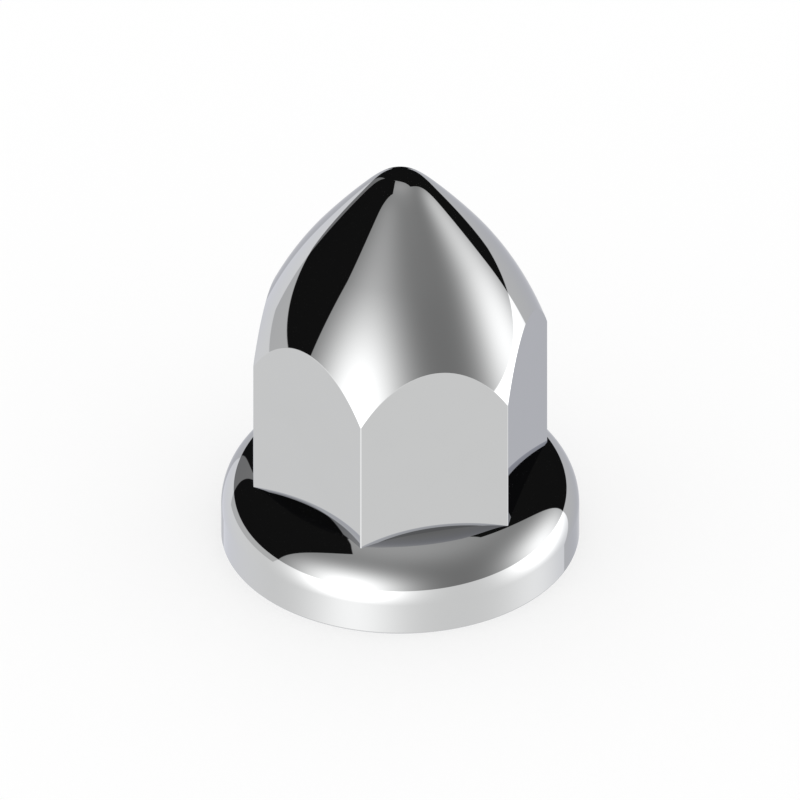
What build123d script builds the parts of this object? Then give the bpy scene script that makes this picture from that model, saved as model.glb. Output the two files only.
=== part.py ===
from build123d import *
from math import acos, asin, cos, degrees, radians, sin, sqrt
import os

# A push-on cover cap for a truck wheel nut, moulded in one piece and chrome plated.
# A hexagonal hood runs up into a pointed ogive, which scallops the top of each flat.
# The hood stands on a round skirt with a wide, domed shoulder. Inside, a hexagonal
# socket grips the nut with thin ribs, and the skirt clears the nut's round washer.
# Millimetres. +Z is the axis, from the wheel to the point. The origin is the centre
# of the skirt's lower rim, which rests on the wheel. Two flats face -Y and +Y.

# The nut that the cap covers
nut_across_flats = 33.0
washer_diameter = 46.0

# Room between the nut and the moulding, on each side
socket_clearance = 0.3
washer_clearance = 0.6

# The moulding's wall, the same all over
wall = 2.2

# The skirt: an upright side, then a domed shoulder that runs in under the hood
skirt_side_height = 5.0
shoulder_width = 8.0
shoulder_height = 8.0

# The hood: its upright corners, then the ogive. The ogive's side runs through the tops of
# the corners in one arc, goes over into a flatter arc, and ends in a ball at the point
corner_height = 32.9
ogive_widest_height = 15.65  # where the side's arc would stand upright
ogive_side_radius = 59.0
flatter_side_height = 51.1   # where the flatter arc takes over
flatter_side_radius = 125.0
tip_radius = 6.1

# Softened edges of the mould
hood_corner_round = 0.3
rim_edge_bevel = 0.3

# Ribs in the socket that grip the nut, in pairs on each flat
rib_width = 1.0
rib_spacing = 9.0
rib_foot_height = 12.5
rib_length = 17.0
rib_lead_in = 2.5
rib_root = 0.5              # how far a rib is rooted in the wall behind it

# Derived sizes
flats = 6
grip_half_flats = nut_across_flats / 2
socket_half_flats = grip_half_flats + socket_clearance
hood_half_flats = socket_half_flats + wall
hood_corner_radius = hood_half_flats / cos(radians(180 / flats))
skirt_radius = washer_diameter / 2 + washer_clearance + wall
rib_top_height = rib_foot_height + rib_length

# The arc of the ogive's side has its centre at the height where it would stand upright,
# and as far beyond the axis as puts the arc through the tops of the hood's corners
corner_rise = corner_height - ogive_widest_height
ogive_centre = (
    hood_corner_radius - sqrt(ogive_side_radius**2 - corner_rise**2),
    ogive_widest_height,
)

# The flatter arc goes on in the same direction, so both centres lie on one line with the
# point where they meet. Left alone, the flatter arcs would meet in a sharp point
takeover = asin((flatter_side_height - ogive_widest_height) / ogive_side_radius)
centre_step = flatter_side_radius - ogive_side_radius
flatter_centre = (
    ogive_centre[0] - centre_step * cos(takeover),
    ogive_centre[1] - centre_step * sin(takeover),
)
sharp_height = flatter_centre[1] + sqrt(flatter_side_radius**2 - flatter_centre[0] ** 2)


def skirt_section(inset):
    """Half section of the skirt, moved inwards: an upright side and a domed shoulder."""
    dome_centre = (skirt_radius - shoulder_width, skirt_side_height)
    width = shoulder_width - inset
    height = shoulder_height - inset
    with BuildSketch() as half:
        with BuildLine():
            side = Line((skirt_radius - inset, 0), (skirt_radius - inset, skirt_side_height))
            dome = EllipticalCenterArc(dome_centre, width, height, arc_size=90)
            Polyline(dome @ 1, (0, (dome @ 1).Y), (0, 0), side @ 0)
        make_face()
    return half.sketch


def ogive_section(inset):
    """Half section of the ogive, moved inwards, from where it is widest to a round point."""
    side_radius = ogive_side_radius - inset
    flatter_radius = flatter_side_radius - inset
    start = degrees(takeover)
    end = degrees(acos(-flatter_centre[0] / flatter_radius))
    with BuildSketch() as half:
        with BuildLine():
            side = CenterArc(ogive_centre, side_radius, 0, start)
            flatter = CenterArc(flatter_centre, flatter_radius, start, end - start)
            Polyline(flatter @ 1, (0, 0), ((side @ 0).X, 0), side @ 0)
        make_face()
        mirror(about=Plane.YZ)
        fillet(half.vertices().sort_by(Axis.Y)[-1], tip_radius - inset)
        split(bisect_by=Plane.YZ)
    return half.sketch


# The skirt, filled, and the recess in it that clears the washer
with BuildPart() as skirt:
    with BuildSketch(Plane.XZ):
        add(skirt_section(0))
    revolve(axis=Axis.Z)

with BuildPart() as washer_recess:
    with BuildSketch(Plane.XZ):
        add(skirt_section(wall))
    revolve(axis=Axis.Z)

# The hood, filled: a hexagonal bar with softened corners, trimmed by the ogive
with BuildPart() as hood:
    with BuildSketch():
        RegularPolygon(hood_half_flats, flats, major_radius=False)
    extrude(amount=sharp_height)
    fillet(hood.edges().filter_by(Axis.Z), hood_corner_round)
    with BuildSketch(Plane.XZ):
        add(ogive_section(0))
    revolve(axis=Axis.Z, mode=Mode.INTERSECT)

# The socket in the hood: the same form, smaller by the wall, with sharp corners
with BuildPart() as socket:
    with BuildSketch():
        RegularPolygon(socket_half_flats, flats, major_radius=False)
    extrude(amount=sharp_height)
    with BuildSketch(Plane.XZ):
        add(ogive_section(wall))
    revolve(axis=Axis.Z, mode=Mode.INTERSECT)

# One grip rib, for a flat that faces +X, with a slope at both ends
with BuildPart() as rib:
    with BuildSketch(Plane.XZ):
        with BuildLine():
            Polyline(
                (socket_half_flats + rib_root, rib_foot_height),
                (socket_half_flats, rib_foot_height),
                (grip_half_flats, rib_foot_height + rib_lead_in),
                (grip_half_flats, rib_top_height - rib_lead_in),
                (socket_half_flats, rib_top_height),
                (socket_half_flats + rib_root, rib_top_height),
                close=True,
            )
        make_face()
    extrude(amount=rib_width / 2, both=True)

# The cap: skirt and hood in one, hollowed out, with a pair of ribs on every flat
with BuildPart() as cover_cap:
    add(skirt.part)
    add(hood.part)
    add(washer_recess.part, mode=Mode.SUBTRACT)
    add(socket.part, mode=Mode.SUBTRACT)
    chamfer(cover_cap.faces().sort_by(Axis.Z)[0].edges(), rim_edge_bevel)
    with PolarLocations(0, flats, start_angle=180 / flats):
        with Locations((0, -rib_spacing / 2, 0), (0, rib_spacing / 2, 0)):
            add(rib.part)

cover_cap.part.label = "cover_cap"
os.makedirs("parts", exist_ok=True)
export_step(cover_cap.part, "parts/cover_cap.step")
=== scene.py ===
# %% [markdown]
# # A pointed cover cap for a truck wheel nut
#
# The real cap is one plastic moulding, plated all over with bright chrome. Chrome has
# almost no colour of its own: it shows the room it stands in. So this lesson has two
# halves, a surface that is smooth enough to be a mirror, and a studio worth mirroring.
#
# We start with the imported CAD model, which fixes where everything is. All lengths in
# Blender are metres.

import bpy
import numpy as np
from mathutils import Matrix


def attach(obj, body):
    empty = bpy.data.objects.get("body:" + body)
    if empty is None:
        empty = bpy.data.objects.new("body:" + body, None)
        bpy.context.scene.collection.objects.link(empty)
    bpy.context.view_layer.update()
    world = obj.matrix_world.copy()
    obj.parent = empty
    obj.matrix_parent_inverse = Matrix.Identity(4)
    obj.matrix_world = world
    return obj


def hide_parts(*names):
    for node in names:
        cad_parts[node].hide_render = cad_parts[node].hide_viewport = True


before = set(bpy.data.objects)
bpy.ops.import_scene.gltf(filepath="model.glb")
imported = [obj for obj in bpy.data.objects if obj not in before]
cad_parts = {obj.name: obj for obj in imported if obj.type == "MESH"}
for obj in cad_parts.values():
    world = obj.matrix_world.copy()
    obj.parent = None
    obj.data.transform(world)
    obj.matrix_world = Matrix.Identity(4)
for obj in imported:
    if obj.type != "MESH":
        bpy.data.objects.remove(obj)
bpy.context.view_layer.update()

# %% [markdown]
# ## The cap's sizes
#
# The CAD surface is a mesh of flat triangles. In a dull finish nobody would see that, but
# a mirror shows each facet as a broken reflection. We therefore work the same surface out
# again from its few sizes, with the true normal at every point. The sizes are the ones
# that the CAD model has, so both surfaces lie on each other, but for small rounds on the
# scallops and the rim, and hundredths of a millimetre at the point.

# %% Sizes of the cap, in metres
MM = 0.001
FLATS = 6
WALL = 2.2 * MM
HOOD_HALF_FLATS = 19.0 * MM
SOCKET_HALF_FLATS = HOOD_HALF_FLATS - WALL
GRIP_HALF_FLATS = 16.5 * MM
SKIRT_RADIUS = 25.8 * MM
SKIRT_SIDE_HEIGHT = 5.0 * MM
SHOULDER_RADIUS = 8.0 * MM
CORNER_HEIGHT = 32.9 * MM
OGIVE_WIDEST_HEIGHT = 15.65 * MM
OGIVE_SIDE_RADIUS = 59.0 * MM
FLATTER_SIDE_HEIGHT = 51.1 * MM
FLATTER_SIDE_RADIUS = 125.0 * MM
TIP_RADIUS = 6.1 * MM
CORNER_ROUND = 0.3 * MM
RIM_ROUND = 0.3 * MM
SCALLOP_ROUND = 0.12 * MM    # how far the round on a scallop's edge reaches to each side
RIB_HEIGHTS = np.array([12.5, 15.0, 27.0, 29.5]) * MM    # foot, full height from, to, top
RIB_EDGES = np.array([4.0, 5.0]) * MM    # both sides of a rib, from the flat's middle

HALF_TURN = np.pi / FLATS
HOOD_CORNER_RADIUS = HOOD_HALF_FLATS / np.cos(HALF_TURN)
DOME_CENTRE_RADIUS = SKIRT_RADIUS - SHOULDER_RADIUS

# %% [markdown]
# ## The side and the point of the ogive
#
# The side of the ogive is an arc that runs through the tops of the hood's corners. Higher
# up the CAD model goes over into a flatter arc, and its point is a ball. Where two arcs meet
# they share their normal, so both centres lie on one line with the meeting point. That line
# also gives the place of the next centre, which is one radius back along it.

# %% Find the arcs' centres and the height of the point
side_rise = CORNER_HEIGHT - OGIVE_WIDEST_HEIGHT
SIDE_R = HOOD_CORNER_RADIUS - np.sqrt(OGIVE_SIDE_RADIUS**2 - side_rise**2)
SIDE_Z = OGIVE_WIDEST_HEIGHT
TAKEOVER = np.arcsin((FLATTER_SIDE_HEIGHT - SIDE_Z) / OGIVE_SIDE_RADIUS)
centre_step = FLATTER_SIDE_RADIUS - OGIVE_SIDE_RADIUS
FLATTER_R = SIDE_R - centre_step * np.cos(TAKEOVER)
FLATTER_Z = SIDE_Z - centre_step * np.sin(TAKEOVER)
BALL_Z = FLATTER_Z + np.sqrt((FLATTER_SIDE_RADIUS - TIP_RADIUS) ** 2 - FLATTER_R**2)
POINT_HEIGHT = BALL_Z + TIP_RADIUS
print(f"side arc up to a tilt of {np.degrees(TAKEOVER):.1f} degrees")
print(f"point at {POINT_HEIGHT / MM:.2f} mm")

# %% [markdown]
# Arcs that meet in a line don't give the photograph's reflections at the point. A curve that
# goes over by degrees comes nearer: from over 100 mm on the side to under 4 mm, with a
# flatter spot on the very top. It stays within 0.07 mm of the arcs, which no ruler would
# find, but a mirror shows it at once.
#
# We give the curve's radius at a few tilts of its normal, and add up short arcs from the top
# down. These radii aren't sizes of the real cap. A separate program fitted them to the
# reflections, and near the top its fits differed threefold, so there they are a guess.

# %% Add up the point's curve
CURVE_TILTS = np.radians([36.9306, 39.5, 41.5, 42.6, 43.6, 45, 47.5, 51, 56, 63, 72, 80, 90])
CURVE_RADII = np.array([100, 148.559, 109, 47, 27.4, 20.3, 14, 8.501, 5.6, 5, 4.1, 3.6, 14]) * MM
CURVE_STEPS = 4000
curve_tilt = np.linspace(np.pi / 2, TAKEOVER, CURVE_STEPS + 1)
curve_radius = np.exp(np.interp(curve_tilt, CURVE_TILTS, np.log(CURVE_RADII)))


def summed(slope):
    """Running sum of slope * step of tilt from the top down, by the trapezium rule."""
    step = (np.pi / 2 - TAKEOVER) / CURVE_STEPS
    return np.concatenate([[0.0], np.cumsum((slope[1:] + slope[:-1]) / 2) * step])


curve_r = summed(curve_radius * np.sin(curve_tilt))
curve_z = POINT_HEIGHT - summed(curve_radius * np.cos(curve_tilt))
side_end_r = SIDE_R + OGIVE_SIDE_RADIUS * np.cos(TAKEOVER)
gap = np.hypot(curve_r[-1] - side_end_r, curve_z[-1] - FLATTER_SIDE_HEIGHT)
print(f"the curve meets the side arc within {gap / MM:.4f} mm")


def ogive_profile(tilt, inset):
    """Distance from the axis and height on the ogive, moved inwards, at a normal's tilt.

    The side arc gives centre + radius * (cos, sin) of the tilt, and the point's curve is
    looked up. Both are then moved by the inset against the normal, which is (cos, sin) too.
    """
    on_side = tilt < TAKEOVER
    side = [SIDE_R + OGIVE_SIDE_RADIUS * np.cos(tilt), SIDE_Z + OGIVE_SIDE_RADIUS * np.sin(tilt)]
    point = [np.interp(tilt, curve_tilt[::-1], values[::-1]) for values in (curve_r, curve_z)]
    radius, height = (np.where(on_side, low, high) for low, high in zip(side, point))
    return radius - inset * np.cos(tilt), height - inset * np.sin(tilt)


# %% [markdown]
# ## Columns: once round the hexagon
#
# Every part of the surface is a grid. Its columns go round the axis, and its rows run from
# the point down the outside, under the rim, and up the inside to the point's cavity. One
# set of columns serves all rows, so the patches share their edges and the skin is closed.
# The columns crowd together at the hexagon's six softened corners and at the ribs' edges.

# %% Angles of the columns, measured from the nearest corner
COLUMNS_ON_ROUND, COLUMNS_ON_FLAT = 6, 27
FLAT_START = np.radians(0.9)
ANGLE_DIGITS = 9             # columns closer than this are one
corner_centre = (HOOD_HALF_FLATS - CORNER_ROUND) / np.cos(HALF_TURN)
turn = np.linspace(0, HALF_TURN, COLUMNS_ON_ROUND)
on_round = np.arctan2(CORNER_ROUND * np.sin(turn), corner_centre + CORNER_ROUND * np.cos(turn))
rib_sides = np.concatenate(
    [np.arctan(RIB_EDGES / SOCKET_HALF_FLATS), np.arctan(RIB_EDGES / GRIP_HALF_FLATS)]
)
on_flat = np.linspace(FLAT_START, HALF_TURN, COLUMNS_ON_FLAT)
half = np.concatenate([on_round, on_flat, HALF_TURN - rib_sides])
half = np.unique(half.round(ANGLE_DIGITS))
from_corner = np.concatenate([-half[::-1], half[1:-1]])
corner = np.repeat(np.arange(FLATS), len(from_corner)) * 2 * HALF_TURN
from_corner = np.tile(from_corner, FLATS)
AROUND = corner + from_corner
# A column's outward turn: a flat keeps one direction, and a rounded corner sweeps over
facing = np.interp(np.abs(from_corner), on_round, turn) * np.sign(from_corner)
FACING = corner + facing
print(len(AROUND), "columns, of which", 2 * len(on_round) - 1, "on each softened corner")


def hexagon(half_flats):
    """Distance from the axis to a sharp hexagon: half flats over cos of angle to a flat."""
    return half_flats / np.cos(HALF_TURN - np.abs(from_corner))


# On the softened corner the distance is that to the corner's small circle instead
hood_radius = hexagon(HOOD_HALF_FLATS)
soft = np.abs(from_corner) <= on_round[-1]
along = corner_centre * np.cos(from_corner[soft])
across = corner_centre * np.sin(from_corner[soft])
hood_radius[soft] = along + np.sqrt(CORNER_ROUND**2 - across**2)
socket_radius = hexagon(SOCKET_HALF_FLATS)

# %% [markdown]
# ## Rows: patches of one skin
#
# A patch is a function of two parameters: the column, and a number that runs from 0 to 1
# along the patch's rows. Each patch gives both its points and its normals. The normals
# come from the formula of the surface and not from the mesh, so that a patch can be
# coarse and still reflect like the real curve.

# %% Helpers that lay a patch out
POLE_TILT = np.radians(89.2)   # a patch stops just short of a pole, and one point closes it
BENT_TILTS = np.radians([42.0, 50.0])   # the radius falls from 74 to 10 mm between these two
POINT_AND_SIDE_ROWS = (20, 17, 9, 40)


def rows(count):
    """Numbers from 0 to 1, one for each row, standing as a column for broadcasting."""
    return np.linspace(0.0, 1.0, count)[:, None]


def blend(start, end, step):
    """Straight way from start to end: start + step * (end - start)."""
    return start + step * (end - start)


def turned(radius, height, around):
    """Points at a radius and a height, turned round the axis: (r cos a, r sin a, z)."""
    radius, height, around = np.broadcast_arrays(radius, height, around)
    return np.stack([radius * np.cos(around), radius * np.sin(around), height], axis=-1)


def pointing(tilt, around, sign=1.0):
    """Unit normals that lean up by tilt and face the angle around, or the other way."""
    return turned(sign * np.cos(tilt), sign * np.sin(tilt), around)


def side_tilt(radius, inset):
    """Tilt of the side arc's normal at this distance from the axis: acos((r - centre) / R)."""
    return np.arccos((radius - SIDE_R) / (OGIVE_SIDE_RADIUS - inset))


def smooth_steps(stops, counts):
    """Numbers that run through the stops, evenly between two of them, for all columns.

    Between stops a and b they are a + (b - a) * step, with as many rows as counted.
    """
    parts = [blend(low, high, rows(count)) for low, high, count in zip(stops, stops[1:], counts)]
    parts = [np.broadcast_to(part, (len(part), len(AROUND))) for part in parts]
    return np.concatenate([parts[0]] + [part[1:] for part in parts[1:]])


def dome_tilt(radius, dome_radius):
    """Tilt of the shoulder's normal at this distance from the axis: acos((r - centre) / R)."""
    return np.arccos(np.clip((radius - DOME_CENTRE_RADIUS) / dome_radius, 0, 1))


# %% [markdown]
# ## The outside
#
# From the top: the point, the ogive's side, the round on the scallops' edges, the flats,
# the domed shoulder, the skirt's side, and the round at its foot. The scallops need
# no drawing. They are where the ogive's height equals that of the flat's column, and that
# height differs from column to column because the hexagon's radius does.

# %% Patches of the outside
edge_tilt = side_tilt(hood_radius, 0.0)
edge_height = SIDE_Z + OGIVE_SIDE_RADIUS * np.sin(edge_tilt)
foot_tilt = dome_tilt(hood_radius, SHOULDER_RADIUS)
foot_height = SKIRT_SIDE_HEIGHT + SHOULDER_RADIUS * np.sin(foot_tilt)


def ogive_side():
    """The point's curve and the side's arc, from the pole down to near the scallops."""
    low_end = edge_tilt + SCALLOP_ROUND / OGIVE_SIDE_RADIUS
    tilt = smooth_steps([POLE_TILT, *BENT_TILTS[::-1], TAKEOVER, low_end], POINT_AND_SIDE_ROWS)
    return turned(*ogive_profile(tilt, 0.0), AROUND), pointing(tilt, AROUND)


def scallop_edge(count=5):
    """Small round from the ogive over to the flat: a Bezier curve with the edge as its pull.

    Points are (1-t)^2 start + 2 t (1-t) edge + t^2 end, and normals turn evenly.
    """
    step = rows(count)[..., None]
    start_points, start_normals = (part[-1] for part in ogive_side())
    edge = turned(hood_radius, edge_height, AROUND)
    end = turned(hood_radius, edge_height - SCALLOP_ROUND, AROUND)
    points = (1 - step) ** 2 * start_points + 2 * step * (1 - step) * edge + step**2 * end
    normals = blend(start_normals, pointing(0.0, FACING), step)
    return points, normals / np.linalg.norm(normals, axis=-1, keepdims=True)


def flats(count=9):
    """Upright sides of the hexagon, from the scallop's edge down to the shoulder."""
    height = blend(edge_height - SCALLOP_ROUND, foot_height, rows(count))
    return turned(hood_radius, height, AROUND), pointing(np.zeros((count, 1)), FACING)


def shoulder(count=22):
    """Quarter round from each flat's foot out to the skirt's side."""
    tilt = blend(foot_tilt, 0.0, rows(count))
    radius = DOME_CENTRE_RADIUS + SHOULDER_RADIUS * np.cos(tilt)
    height = SKIRT_SIDE_HEIGHT + SHOULDER_RADIUS * np.sin(tilt)
    return turned(radius, height, AROUND), pointing(tilt, AROUND)


def skirt_side(radius, sign, start, end, count=3):
    """Upright round wall between two heights."""
    return (
        turned(radius, blend(start, end, rows(count)), AROUND),
        pointing(np.zeros((count, 1)), AROUND, sign),
    )


def foot_round(centre_radius, start_turn, end_turn, count=5):
    """Quarter round at the rim, about a circle that stands one round above the foot."""
    tilt = blend(start_turn, end_turn, rows(count))
    radius = centre_radius + RIM_ROUND * np.cos(tilt)
    return turned(radius, RIM_ROUND + RIM_ROUND * np.sin(tilt), AROUND), pointing(tilt, AROUND)


outside = [
    ogive_side(),
    scallop_edge(),
    flats(),
    shoulder(),
    skirt_side(SKIRT_RADIUS, 1.0, SKIRT_SIDE_HEIGHT, RIM_ROUND),
    foot_round(SKIRT_RADIUS - RIM_ROUND, 0.0, -np.pi / 2),
]
print("outside:", len(outside), "patches,", sum(len(points) for points, _ in outside), "rows")

# %% [markdown]
# ## The inside
#
# Turned over, the cap shows its flat lower rim, the recess for the nut's washer, and the
# hexagonal socket with a pair of thin ribs on each flat. It is the outside once more, one
# wall further in. The socket's normals are left to the mesh, because its faces are flat
# and the ribs' edges are meant to look sharp.

# %% Patches of the inside
RECESS_RADIUS = SKIRT_RADIUS - WALL
RECESS_DOME = SHOULDER_RADIUS - WALL
LEDGE = 0.4 * MM             # the last strip of the recess, next to the socket's mouth
CAVITY_ROWS = (20, 5, 7, 8)
ROWS_ON_RIB = 5
ANGLE_SLACK = 1e-6           # a column this near to a rib's edge counts as on the rib


def recess_height(radius):
    """Height of the recess over a radius: the inner dome, and flat inside its centre."""
    return SKIRT_SIDE_HEIGHT + RECESS_DOME * np.sin(dome_tilt(radius, RECESS_DOME))


def rim(count=3):
    """Flat ring that the cap stands on."""
    radius = blend(SKIRT_RADIUS - RIM_ROUND, RECESS_RADIUS + RIM_ROUND, rows(count))
    return turned(radius, 0.0, AROUND), pointing(np.full((count, 1), -np.pi / 2), AROUND)


def recess_dome(end_radius, count=14):
    """Hollow side of the shoulder, from the recess's side to near the socket's mouth."""
    tilt = blend(0.0, dome_tilt(end_radius, RECESS_DOME), rows(count))
    radius = DOME_CENTRE_RADIUS + RECESS_DOME * np.cos(tilt)
    height = SKIRT_SIDE_HEIGHT + RECESS_DOME * np.sin(tilt)
    return turned(radius, height, AROUND), pointing(tilt, AROUND, -1.0)


def mouth_ledge(start_radius, count=4):
    """Last strip of the recess, which ends in the hexagon of the socket's mouth."""
    radius = blend(start_radius, socket_radius, rows(count))
    tilt = dome_tilt(radius, RECESS_DOME)
    return turned(radius, recess_height(radius), AROUND), pointing(tilt, AROUND, -1.0)


def socket_walls():
    """Upright hexagonal walls with ribs.

    A rib rises to full height between its two slopes. It lifts only the columns between
    its edges, which brings the wall from the socket's half flats to the grip's.
    """
    top = ogive_profile(side_tilt(socket_radius, WALL), WALL)[1]
    mouth = recess_height(socket_radius)
    middle = np.linspace(RIB_HEIGHTS[1], RIB_HEIGHTS[2], ROWS_ON_RIB)
    levels = np.concatenate([RIB_HEIGHTS[:1], middle, RIB_HEIGHTS[3:]])[:, None]
    levels = np.broadcast_to(levels, (len(levels), len(AROUND)))
    height = np.concatenate([mouth[None], levels, top[None]])
    rise = np.interp(height, RIB_HEIGHTS, [0.0, 1.0, 1.0, 0.0])
    off_flat = HALF_TURN - np.abs(from_corner)
    inner, outer = rib_sides[2], rib_sides[1]
    on_rib = (off_flat > inner - ANGLE_SLACK) & (off_flat < outer + ANGLE_SLACK)
    half_flats = SOCKET_HALF_FLATS - rise * on_rib * (SOCKET_HALF_FLATS - GRIP_HALF_FLATS)
    return turned(half_flats / np.cos(off_flat), height, AROUND), None


def cavity():
    """Hollow side of the ogive, from the socket's top up to its round end."""
    stops = [side_tilt(socket_radius, WALL), TAKEOVER, *BENT_TILTS, POLE_TILT]
    tilt = smooth_steps(stops, CAVITY_ROWS)
    return turned(*ogive_profile(tilt, WALL), AROUND), pointing(tilt, AROUND, -1.0)


ledge_radius = np.maximum(DOME_CENTRE_RADIUS, socket_radius + LEDGE)
inside = [
    rim(),
    foot_round(RECESS_RADIUS + RIM_ROUND, -np.pi / 2, -np.pi),
    skirt_side(RECESS_RADIUS, -1.0, RIM_ROUND, SKIRT_SIDE_HEIGHT),
    recess_dome(ledge_radius),
    mouth_ledge(ledge_radius),
    socket_walls(),
    cavity(),
]
print("inside:", len(inside), "patches,", sum(len(points) for points, _ in inside), "rows")

# %% [markdown]
# ## Sewing the patches into one mesh
#
# Each patch ends where the next one starts, so the shared rows are kept once. Two single
# points close the poles. Blender keeps a normal for every corner of every face, which lets
# a crease have two: the last row of one patch and the first row of the next are the same
# points with different normals.

# %% Functions that sew


def flat_normals(points):
    """Normals of a patch of flat faces: the cross product of each face's diagonals."""
    first, second = points[:-1], points[1:]
    ahead = (slice(None), np.r_[1:points.shape[1], 0])
    across = np.cross(second[ahead] - first, second - first[ahead])
    return across / np.linalg.norm(across, axis=-1, keepdims=True)


def sew(patches, low_pole, high_pole):
    """Points, four-sided faces, the poles' triangles, and the corner normals of both.

    Row r and column c are point r * columns + c, and the last column joins the first.
    """
    columns = len(AROUND)
    ahead = np.r_[1:columns, 0]
    kept, faces, corners, row = [], [], [], 0
    for number, (points, normals) in enumerate(patches):
        kept.append(points if number == 0 else points[1:])
        count = len(points)
        here = (row + np.arange(count - 1))[:, None] * columns + np.arange(columns)
        there = (row + np.arange(count - 1))[:, None] * columns + ahead
        quads = np.stack([here, here + columns, there + columns, there], axis=-1)
        faces.append(quads.reshape(-1, 4))
        if normals is None:
            each = -flat_normals(points)
            corners.append(np.repeat(each.reshape(-1, 1, 3), 4, axis=1))
        else:
            normals = np.broadcast_to(normals, points.shape)
            four = [normals[:-1], normals[1:], normals[1:][:, ahead], normals[:-1][:, ahead]]
            corners.append(np.stack(four, axis=2).reshape(-1, 4, 3))
        row += count - 1
    points = np.concatenate(kept).reshape(-1, 3)
    poles = np.array([low_pole, high_pole])
    last = (row * columns + np.arange(columns)).astype(int)
    first = np.arange(columns)
    outer_cap = np.stack([first, first[ahead], np.full(columns, len(points))], axis=-1)
    inner_cap = np.stack([last[ahead], last, np.full(columns, len(points) + 1)], axis=-1)
    up = np.array([0.0, 0.0, 1.0])
    cap_normals = np.concatenate([np.tile(up, (columns * 3, 1)), np.tile(-up, (columns * 3, 1))])
    points = np.concatenate([points, poles])
    quads = np.concatenate(faces)
    return points, quads, np.concatenate([outer_cap, inner_cap]), np.concatenate(corners), cap_normals


# %% Sew the patches, and mark the inside
points, quads, caps, quad_normals, cap_normals = sew(
    outside + inside, (0, 0, POINT_HEIGHT), (0, 0, POINT_HEIGHT - WALL)
)
outside_rows = sum(len(part) - 1 for part, _ in outside) + 1
inside_weight = (np.arange(len(points)) >= (outside_rows + 1) * len(AROUND)).astype(np.float32)
inside_weight[-2] = 0.0      # the outer pole
print("points on the inside:", int(inside_weight.sum()))

# %% Put the mesh into Blender
skin = bpy.data.meshes.new("cap_skin")
skin.vertices.add(len(points))
skin.vertices.foreach_set("co", points.astype(np.float32).ravel())
loops = np.concatenate([quads.ravel(), caps.ravel()]).astype(np.int32)
skin.loops.add(len(loops))
skin.loops.foreach_set("vertex_index", loops)
starts = np.concatenate([np.arange(len(quads)) * 4, quads.size + np.arange(len(caps)) * 3])
skin.polygons.add(len(starts))
skin.polygons.foreach_set("loop_start", starts.astype(np.int32))
skin.polygons.foreach_set("use_smooth", np.ones(len(starts), dtype=bool))
skin.update(calc_edges=True)
skin.validate()
weight = skin.attributes.new("inside", "FLOAT", "POINT")
weight.data.foreach_set("value", inside_weight)
skin.normals_split_custom_set(np.concatenate([quad_normals.reshape(-1, 3), cap_normals]).tolist())
cap = bpy.data.objects.new("cap_plated", skin)
bpy.context.scene.collection.objects.link(cap)
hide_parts("cover_cap")
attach(cap, "root")
print("cap:", len(points), "points,", len(quads) * 2 + len(caps), "triangles")

# %% [markdown]
# ## Shader maths as sums
#
# A shader graph is arithmetic drawn with boxes. This small class lets us write it as
# arithmetic: it wraps a socket, and +, -, * and ** add the Math node and return its output.
# One method adds any other node.

# %% A socket that can be added and multiplied


class Tone:
    """A number or vector that travels through a node tree."""

    def __init__(self, tree, socket):
        self.tree = tree
        self.socket = socket

    def node(self, kind, sockets, output=0, **settings):
        """Add a node, set its settings, then fill its sockets with values or links."""
        made = self.tree.nodes.new(kind)
        for name, value in settings.items():
            setattr(made, name, value)
        for name, value in sockets.items():
            if isinstance(value, Tone):
                self.tree.links.new(value.socket, made.inputs[name])
            else:
                made.inputs[name].default_value = value
        return Tone(self.tree, made.outputs[output] if made.outputs else None)

    def maths(self, operation, *values, clamp=False):
        """Math node on numbers."""
        sockets = dict(enumerate(values))
        return self.node("ShaderNodeMath", sockets, operation=operation, use_clamp=clamp)

    def __add__(self, other):
        return self.maths("ADD", self, other)

    def __radd__(self, other):
        return self.maths("ADD", other, self)

    def __sub__(self, other):
        return self.maths("SUBTRACT", self, other)

    def __rsub__(self, other):
        return self.maths("SUBTRACT", other, self)

    def __mul__(self, other):
        return self.maths("MULTIPLY", self, other)

    def __rmul__(self, other):
        return self.maths("MULTIPLY", other, self)

    def __pow__(self, other):
        return self.maths("POWER", self, other)

    def above_zero(self):
        """The number, or zero where it is negative."""
        return self.maths("MAXIMUM", self, 0.0)

    def along(self, vector):
        """Dot product with a fixed vector: how far this one goes that way."""
        sockets = {0: self, 1: tuple(map(float, vector))}
        return self.node("ShaderNodeVectorMath", sockets, "Value", operation="DOT_PRODUCT")

    def past(self, softness):
        """Mask that turns from 0 to 1 as the number crosses zero, within the softness."""
        return self.maths("MULTIPLY_ADD", self, 1.0 / softness, 0.5, clamp=True)

    def mixed(self, first, other, amount):
        """Mix node on colours: the first where the amount is 0, the other where it is 1."""
        sockets = {0: amount, 6: first, 7: other}
        return self.node("ShaderNodeMix", sockets, 2, data_type="RGBA")


def new_tree(holder):
    """Empty the node tree of a material or world, and give it back."""
    holder.use_nodes = True
    holder.node_tree.nodes.clear()
    return holder.node_tree


# %% [markdown]
# ## The plating
#
# Bright chrome on plastic is a mirror that gives back a little over half of the light, with
# almost no colour. Near the outline, where light only grazes it, chromium first gives back
# a little less and then turns slightly blue, and the Specular Tint socket holds that.
#
# The mirror is not perfect. The moulding under it has a faint orange peel, handling leaves
# hazy films that show as uneven gloss, and the plating bath throws less metal into the
# socket, so the inside is duller and darker. Noise on Object coordinates gives the peel and
# the films, at sizes from 0.4 to 7 mm. An attribute of the mesh marks the inside.

# %% Chrome material
plating = bpy.data.materials.new("bright_chrome_plating")
tree = new_tree(plating)
start = Tone(tree, None)
place = start.node("ShaderNodeTexCoord", {}, "Object")


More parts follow.
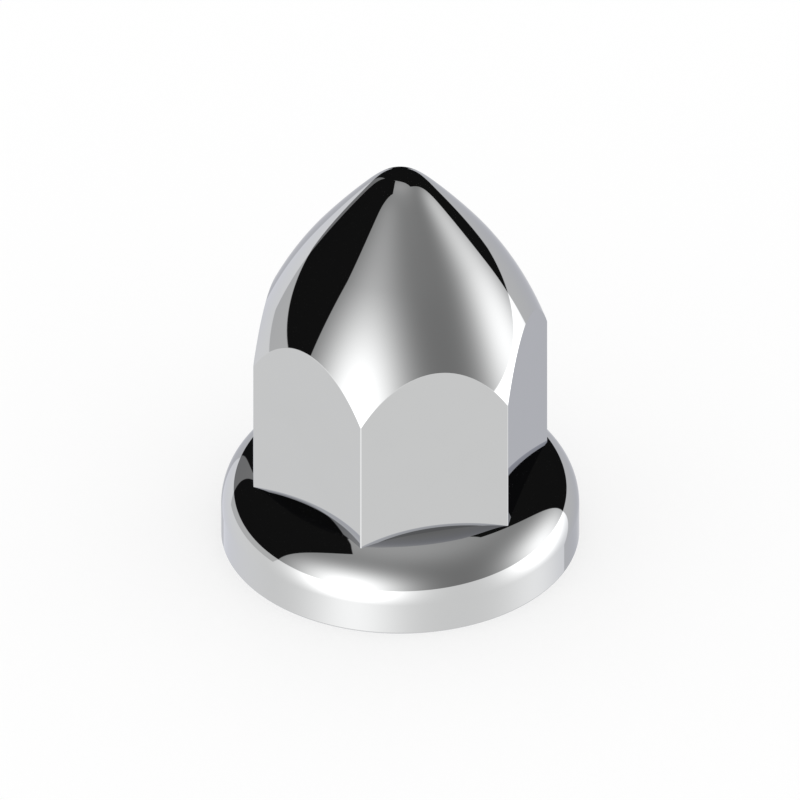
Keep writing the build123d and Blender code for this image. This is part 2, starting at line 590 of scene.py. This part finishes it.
def noise(per_metre, detail):
    """Noise on the cap's own coordinates, with so many waves to the metre."""
    sockets = {"Vector": place, "Scale": per_metre, "Detail": detail}
    return start.node("ShaderNodeTexNoise", sockets, "Fac")


haze = noise(140.0, 3.0)     # 7 mm patches
grain = noise(2600.0, 2.0)   # 0.4 mm specks
peel = noise(420.0, 1.0)     # 2.4 mm waves
inner = start.node("ShaderNodeAttribute", {}, "Fac", attribute_name="inside")

BRIGHT = (0.555, 0.559, 0.560, 1.0)
FILM = (0.549, 0.553, 0.554, 1.0)
DULL = (0.330, 0.333, 0.337, 1.0)
GRAZING_TINT = (0.760, 0.770, 0.828, 1.0)
FILM_CONTRAST, FILM_SHIFT = 3.0, -1.35       # a film lies where the haze is over 0.45
film = start.maths("MULTIPLY_ADD", haze, FILM_CONTRAST, FILM_SHIFT, clamp=True)
colour = start.mixed(start.mixed(BRIGHT, FILM, film), DULL, inner)

POLISH, FILM_BLUR, GRAIN_BLUR = 0.012, 0.010, 0.008
INSIDE_BLUR, INSIDE_UNEVEN = 0.22, 0.12
roughness = POLISH + film * FILM_BLUR + grain * GRAIN_BLUR
roughness = roughness + inner * (INSIDE_BLUR + INSIDE_UNEVEN * haze)

PEEL_OUTSIDE, PEEL_INSIDE = 0.3, 2.0
PEEL_STRENGTH, PEEL_DEPTH = 0.05, 0.02 * MM
peel_height = peel * (PEEL_OUTSIDE + inner * PEEL_INSIDE)
bump = start.node(
    "ShaderNodeBump",
    {"Height": peel_height, "Strength": PEEL_STRENGTH, "Distance": PEEL_DEPTH},
    "Normal",
)
surface = start.node(
    "ShaderNodeBsdfPrincipled",
    {"Base Color": colour, "Metallic": 1.0, "Roughness": roughness, "Normal": bump,
     "Specular Tint": GRAZING_TINT},
)
start.node("ShaderNodeOutputMaterial", {"Surface": surface})
cap.data.materials.append(plating)
print("plating:", len(tree.nodes), "nodes")

# %% [markdown]
# ## The view
#
# The photograph is taken from far away through a long lens, so upright lines stay upright:
# an orthographic camera does the same. It looks down by 35 degrees and stands 45 degrees
# round from the front, which turns one corner of the hexagon a little left of the middle.

# %% Camera
VIEW_AROUND = np.radians(45.0)
VIEW_DOWN = np.radians(35.0)
PIXELS, PIXEL = 800, 0.144 * MM      # width of the picture, and what one pixel shows
AXIS_OFFSET = 0.2 * PIXEL            # the cap's axis is that far right of the middle
AIM = np.array([0.0, 0.0, 23.14 * MM])
DISTANCE, FAR_END = 0.5, 10.0
RIGHT = np.array([np.cos(VIEW_AROUND), np.sin(VIEW_AROUND), 0.0])
AWAY = np.array([-np.sin(VIEW_AROUND), np.cos(VIEW_AROUND), 0.0])
UP = np.array([0.0, 0.0, 1.0])
back = UP * np.sin(VIEW_DOWN) - AWAY * np.cos(VIEW_DOWN)

lens = bpy.data.cameras.new("long_lens")
lens.type = "ORTHO"
lens.ortho_scale = PIXELS * PIXEL
lens.clip_end = FAR_END
camera = bpy.data.objects.new("camera", lens)
camera.location = AIM - RIGHT * AXIS_OFFSET + back * DISTANCE
camera.rotation_euler = (np.pi / 2 - VIEW_DOWN, 0.0, VIEW_AROUND)
bpy.context.scene.collection.objects.link(camera)
bpy.context.scene.camera = camera
print("camera at", [round(float(value), 4) for value in camera.location])

# %% [markdown]
# ## The studio
#
# What makes chrome look like chrome is the contrast of what stands round it. Here the cap
# is in a grey booth with two soft lamps, and behind it hang two big black cards with
# a gap between them. The booth's floor is brighter than its walls, so there is a sharp
# horizon in every curve. On that floor lie a patch of painted shade below the right card,
# a strip of painted shade at the left card's foot, and a narrow black strip behind the
# cap, which darkens the far side of the point.
#
# All this could be built from real panels, but they would get in the way of any other
# camera, so it is painted on the world, by direction. A card's straight edge is a plane
# through the middle of the room: a direction lies on one side or the other.
#
# Directions are given as (right, away, up) from the photographer's place. They and the tones
# weren't measured in a real studio. They were fitted to the photograph's reflections, in
# several rounds, and then adjusted.

# %% Edges and lamps of the studio


def compass(turn, rise=0.0):
    """Direction that is turned right from straight ahead, and raised, in degrees."""
    turn, rise = np.radians(turn), np.radians(rise)
    return np.array([np.sin(turn) * np.cos(rise), np.cos(turn) * np.cos(rise), np.sin(rise)])


def in_room(vector):
    """From (right, away, up) to the frame's X, Y and Z."""
    return vector[0] * RIGHT + vector[1] * AWAY + vector[2] * UP


def edge_through(first, second, inside_way):
    """Unit normal of the plane through two directions, facing the side of a third one."""
    normal = np.cross(first, second)
    normal = normal / np.linalg.norm(normal)
    return in_room(normal * np.sign(normal @ inside_way))


LEFT_CARD = compass(-70, 20)
LEFT_CARD_EDGES = [
    edge_through(compass(-101.9), compass(-127.2, 60), LEFT_CARD),
    edge_through(compass(-44.6), compass(-37.1, 27), LEFT_CARD),
    edge_through(compass(-128.8, 63.7), compass(-90, 73.7), LEFT_CARD),
    edge_through(compass(-90, 73.8), compass(-13.8, 56.2), LEFT_CARD),
]
RIGHT_CARD = compass(15, 20)
RIGHT_CARD_EDGES = [
    edge_through(compass(-27.9), compass(-33.0, 25), RIGHT_CARD),
    edge_through(compass(57.9), compass(75.3, 60), RIGHT_CARD),
    edge_through(compass(-24.8, 54.4), compass(63.1, 66.6), RIGHT_CARD),
]
LOW_STRIP = compass(0, -15)
LOW_STRIP_EDGES = [
    edge_through(compass(-6), compass(-6, -30), LOW_STRIP),
    edge_through(compass(6), compass(6, -30), LOW_STRIP),
    edge_through(compass(90), compass(0, -24), LOW_STRIP),
]
# painted shade of the right card, lying on the floor below it
RIGHT_CARD_SHADE = compass(15, -20)
RIGHT_CARD_SHADE_EDGES = [
    edge_through(compass(-29.0), compass(-20.9, -30), RIGHT_CARD_SHADE),
    edge_through(compass(58.2), compass(49.4, -30), RIGHT_CARD_SHADE),
]
# painted shade at the foot of the left card, on the floor just below the horizon
LEFT_CARD_SHADE = compass(-70, -5)
LEFT_CARD_SHADE_EDGES = [
    edge_through(compass(-102.3), compass(-97, -12), LEFT_CARD_SHADE),
    edge_through(compass(-44.4), compass(-47.8, -12), LEFT_CARD_SHADE),
]
LEFT_CARD_SHADE_DEPTH = np.sin(np.radians(11.9))
LEFT_LAMP = in_room(compass(-150))
RIGHT_LAMP = in_room(compass(84))
print("cards with", len(LEFT_CARD_EDGES), "and", len(RIGHT_CARD_EDGES), "edges")

# %% Ways to look round the studio
EDGE_SOFTNESS = 0.008
world = bpy.data.worlds.new("studio")
bpy.context.scene.world = world
tree = new_tree(world)
start = Tone(tree, None)
way = start.node("ShaderNodeTexCoord", {}, "Generated")
height = way.along(UP)
behind = way.along(AWAY)


def within(edges):
    """1 on the inner side of every edge, and 0 elsewhere: the masks are multiplied."""
    mask, *others = [way.along(edge).past(EDGE_SOFTNESS) for edge in edges]
    for other in others:
        mask = mask * other
    return mask


def grey(tone):
    """Neutral colour from a number."""
    return start.node("ShaderNodeCombineColor", {"Red": tone, "Green": tone, "Blue": tone})


print("a direction's parts:", len(tree.nodes), "nodes")

# %% Above the horizon: walls, ceiling, lamps and cards
# Each light is a tone * cos(angle from its middle) ** focus
WALL_TONE, CARD_TONE = 0.266, 0.0091
CEILING_TONE, CEILING_FOCUS = 0.257, 4.15
LEFT_TONE, LEFT_FOCUS = 2.017, 6.70
RIGHT_TONE, RIGHT_FOCUS = 1.538, 9.58
left_lamp = LEFT_TONE * way.along(LEFT_LAMP).above_zero() ** LEFT_FOCUS
right_lamp = RIGHT_TONE * way.along(RIGHT_LAMP).above_zero() ** RIGHT_FOCUS
walls = WALL_TONE + CEILING_TONE * height.above_zero() ** CEILING_FOCUS + left_lamp + right_lamp
cards = start.maths("MAXIMUM", within(LEFT_CARD_EDGES), within(RIGHT_CARD_EDGES))
room_above = walls * (1.0 - cards) + CARD_TONE * cards
print("with all above the horizon:", len(tree.nodes), "nodes")

# %% Below the horizon: floor, the painted shade of both cards, and the strip
FLOOR_TONE, FLOOR_RISE = 1.003, 0.150        # the floor gets lighter towards the back
# tones of the painted shade on the floor: below the right card, and at the left card's foot
RIGHT_CARD_SHADE_TONE, LEFT_CARD_SHADE_TONE = 0.790, 0.720
LEFT_ON_FLOOR, RIGHT_ON_FLOOR = 1.17, 1.52   # how strongly each lamp lights the floor
# masks of the painted shade of both cards on the floor
left_card_shade = within(LEFT_CARD_SHADE_EDGES) * (height + LEFT_CARD_SHADE_DEPTH).past(EDGE_SOFTNESS)
right_card_shade = within(RIGHT_CARD_SHADE_EDGES)
low_strip = within(LOW_STRIP_EDGES)
lit_floor = FLOOR_TONE + FLOOR_RISE * behind.above_zero()
lit_floor = lit_floor + LEFT_ON_FLOOR * left_lamp + RIGHT_ON_FLOOR * right_lamp
# the painted shade of both cards darkens the painted floor
room_below = (lit_floor * (1.0 - left_card_shade) + LEFT_CARD_SHADE_TONE * left_card_shade) * (1.0 - right_card_shade) + RIGHT_CARD_SHADE_TONE * right_card_shade
room_below = room_below * (1.0 - low_strip) + CARD_TONE * low_strip
print("with all below it:", len(tree.nodes), "nodes")

# %% The horizon between them
HORIZON_DROP, HORIZON_TILT = 0.0414, 0.0173
horizon = (height + HORIZON_TILT * behind + HORIZON_DROP).past(EDGE_SOFTNESS)
room = grey(room_below * (1.0 - horizon) + room_above * horizon)
print("whole room:", len(tree.nodes), "nodes")

# %% [markdown]
# The backdrop itself is plain white, for the camera and for the soft light on the floor.
# The painted room stands in front of it for a mirror's rays only, as cards do that are kept
# out of the picture.

# %% White backdrop, with the room in front of it for the metal
WHITE = (1.0, 1.0, 1.0, 1.0)
mirrored = start.node("ShaderNodeLightPath", {}, "Is Glossy Ray")
shown = start.mixed(WHITE, room, mirrored)
glow = start.node("ShaderNodeBackground", {"Color": shown, "Strength": 1.0})
start.node("ShaderNodeOutputWorld", {"Surface": glow})
print("world:", len(tree.nodes), "nodes")

# %% [markdown]
# ## The floor
#
# A plain white floor carries the cap and its soft contact shadow. Like a light table, it
# shows a part of its white whatever falls on it, so the shadow stays faint. The metal
# doesn't see the floor, because the room's painted floor already stands there with the
# right brightness.

# %% Floor
FLOOR_HALF = 1.5
SHADOW_LIFT = 0.6            # share of plain white that is seen, over the shadow too
floor_mesh = bpy.data.meshes.new("floor")
floor_mesh.from_pydata(
    [(-FLOOR_HALF, -FLOOR_HALF, 0), (FLOOR_HALF, -FLOOR_HALF, 0),
     (FLOOR_HALF, FLOOR_HALF, 0), (-FLOOR_HALF, FLOOR_HALF, 0)],
    [],
    [(0, 1, 2, 3)],
)
floor = bpy.data.objects.new("floor", floor_mesh)
bpy.context.scene.collection.objects.link(floor)
floor.visible_glossy = False

paper = bpy.data.materials.new("white_paper")
tree = new_tree(paper)
start = Tone(tree, None)
matt = start.node("ShaderNodeBsdfDiffuse", {"Color": WHITE})
plain = start.node("ShaderNodeEmission", {"Color": WHITE, "Strength": 1.0})
seen = start.node("ShaderNodeLightPath", {}, "Is Camera Ray")
for ray in ("Is Glossy Ray", "Is Transmission Ray"):
    seen = seen + start.node("ShaderNodeLightPath", {}, ray)
lift = start.maths("MINIMUM", seen, 1.0) * SHADOW_LIFT
paper_shader = start.node("ShaderNodeMixShader", {0: lift, 1: matt, 2: plain})
start.node("ShaderNodeOutputMaterial", {"Surface": paper_shader})
floor_mesh.materials.append(paper)
print("floor:", 2 * FLOOR_HALF, "m wide")

# %% [markdown]
# ## Colour
#
# The Standard view keeps tones as they are written.

# %% Finish
bpy.context.scene.view_settings.view_transform = "Standard"
